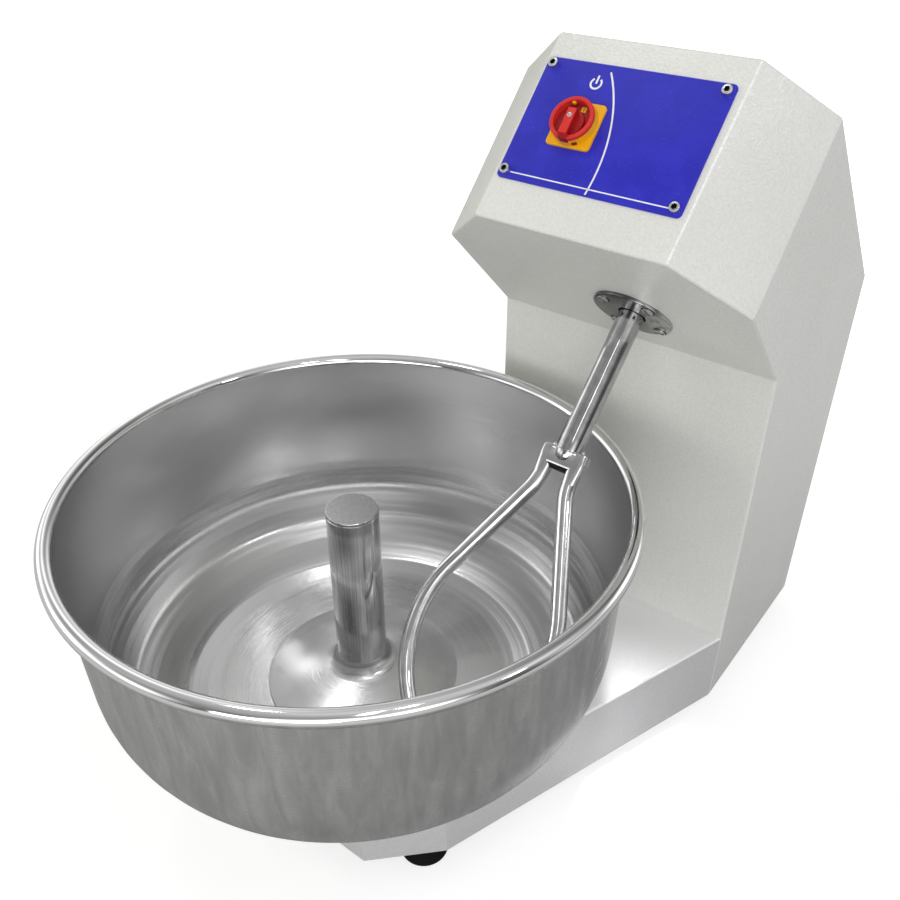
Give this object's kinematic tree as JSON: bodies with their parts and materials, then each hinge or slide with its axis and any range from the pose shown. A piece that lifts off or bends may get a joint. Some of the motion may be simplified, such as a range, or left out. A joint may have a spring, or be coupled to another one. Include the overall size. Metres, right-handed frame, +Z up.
{
  "type": "fork dough mixer",
  "caption": "Floor-standing dough mixer: a deep spun steel bowl turns on a low base, under a slanted head whose motor drives a bowed kneading fork on an oblique shaft.",
  "frame": {"origin": "on the floor, under the middle of the bounding box; the bowl's axis is on X = 0", "axes": "+Z up, +Y from the bowl to the column, +X to the side that the column stands on"},
  "size_m": [0.592, 0.925, 0.8214],
  "materials": {
    "cream_paint": "textured powder coat",
    "blue_plate": "smooth printed blue",
    "yellow_plastic": "moulded yellow",
    "red_plastic": "moulded red",
    "black_plastic": "moulded black",
    "zinc": "zinc plate",
    "polished_steel": "polished stainless steel",
    "bowl_steel": "spun satin stainless steel",
    "post_steel": "brushed stainless steel",
    "black_rubber": "moulded rubber",
    "machined_steel": "turned and ground steel",
    "cast_iron": "painted casting",
    "gear_bronze": "machined bronze",
    "motor_paint": "sprayed enamel"
  },
  "bodies": {
    "housing": {"column_shell": "cream_paint", "base_shell": "cream_paint", "rear_cover": "cream_paint", "base_floor": "cream_paint", "column_floor": "cream_paint", "motor_shelf": "cream_paint", "control_plate": "blue_plate", "switch_plate": "yellow_plastic", "switch_body": "black_plastic", "cable_gland": "black_plastic", "motor_terminal_box": "black_plastic", "control_plate_screws": "zinc", "rear_cover_screws": "zinc", "foot_studs": "zinc", "reducer_bolts": "zinc", "motor_bolts": "zinc", "bowl_housing_bolts": "zinc", "flange_screws": "zinc", "shaft_flange": "polished_steel", "foot_front_left": "black_rubber", "foot_front_right": "black_rubber", "foot_rear_left": "black_rubber", "foot_rear_right": "black_rubber", "shaft_seal": "black_rubber", "drive_belt": "black_rubber", "bowl_bearing_upper": "machined_steel", "bowl_bearing_lower": "machined_steel", "fork_bearing": "machined_steel", "wheel_bearing": "machined_steel", "worm_bearing_left": "machined_steel", "worm_bearing_right": "machined_steel", "motor_stator": "machined_steel", "bowl_bearing_housing": "cast_iron", "fork_bearing_housing": "cast_iron", "reducer_housing": "cast_iron", "reducer_cover": "cast_iron", "motor_frame": "motor_paint", "motor_shield_left": "motor_paint", "motor_shield_right": "motor_paint", "motor_fan_cover": "motor_paint"},
    "fork": {"fork_shaft": "polished_steel", "fork_crosshead": "polished_steel", "fork_tine_left": "polished_steel", "fork_tine_right": "polished_steel", "worm_wheel": "gear_bronze"},
    "worm": {"worm_shaft": "machined_steel", "reducer_pulley": "cast_iron"},
    "rotor": {"motor_shaft": "machined_steel", "motor_pulley": "cast_iron", "motor_fan": "black_plastic"},
    "bowl": {"bowl_shell": "bowl_steel", "bowl_cone": "bowl_steel", "bowl_post": "post_steel", "bowl_post_cap": "post_steel", "bowl_post_collar": "post_steel", "bowl_hub": "machined_steel", "bowl_hub_bolts": "zinc", "bowl_spindle_nut": "zinc"},
    "switch": {"switch_knob": "red_plastic", "switch_knob_screw": "zinc"}
  },
  "joints": [
    {"name": "fork_spin", "type": "hinge", "parent": "housing", "child": "fork", "pos_m": [0.15, 0.11969, 0.56731], "axis": [0, -0.7071, -0.7071], "continuous": true},
    {"name": "worm_spin", "type": "hinge", "parent": "housing", "child": "worm", "pos_m": [0.15, 0.24485, 0.59065], "axis": [1, 0, 0], "continuous": true},
    {"name": "motor_spin", "type": "hinge", "parent": "housing", "child": "rotor", "pos_m": [0.05, 0.3305, 0.327], "axis": [1, 0, 0], "continuous": true},
    {"name": "bowl_spin", "type": "hinge", "parent": "housing", "child": "bowl", "pos_m": [0, -0.1665, 0], "axis": [0, 0, 1], "continuous": true},
    {"name": "switch_turn", "type": "hinge", "parent": "housing", "child": "switch", "pos_m": [0.083, 0.09, 0.75173], "axis": [0, -0.7349, 0.6782], "range_deg": [-90, 0]}
  ],
  "couplings": [
    {"joint": "worm_spin", "follows": "fork_spin", "ratio": -20},
    {"joint": "motor_spin", "follows": "fork_spin", "ratio": -25}
  ]
}
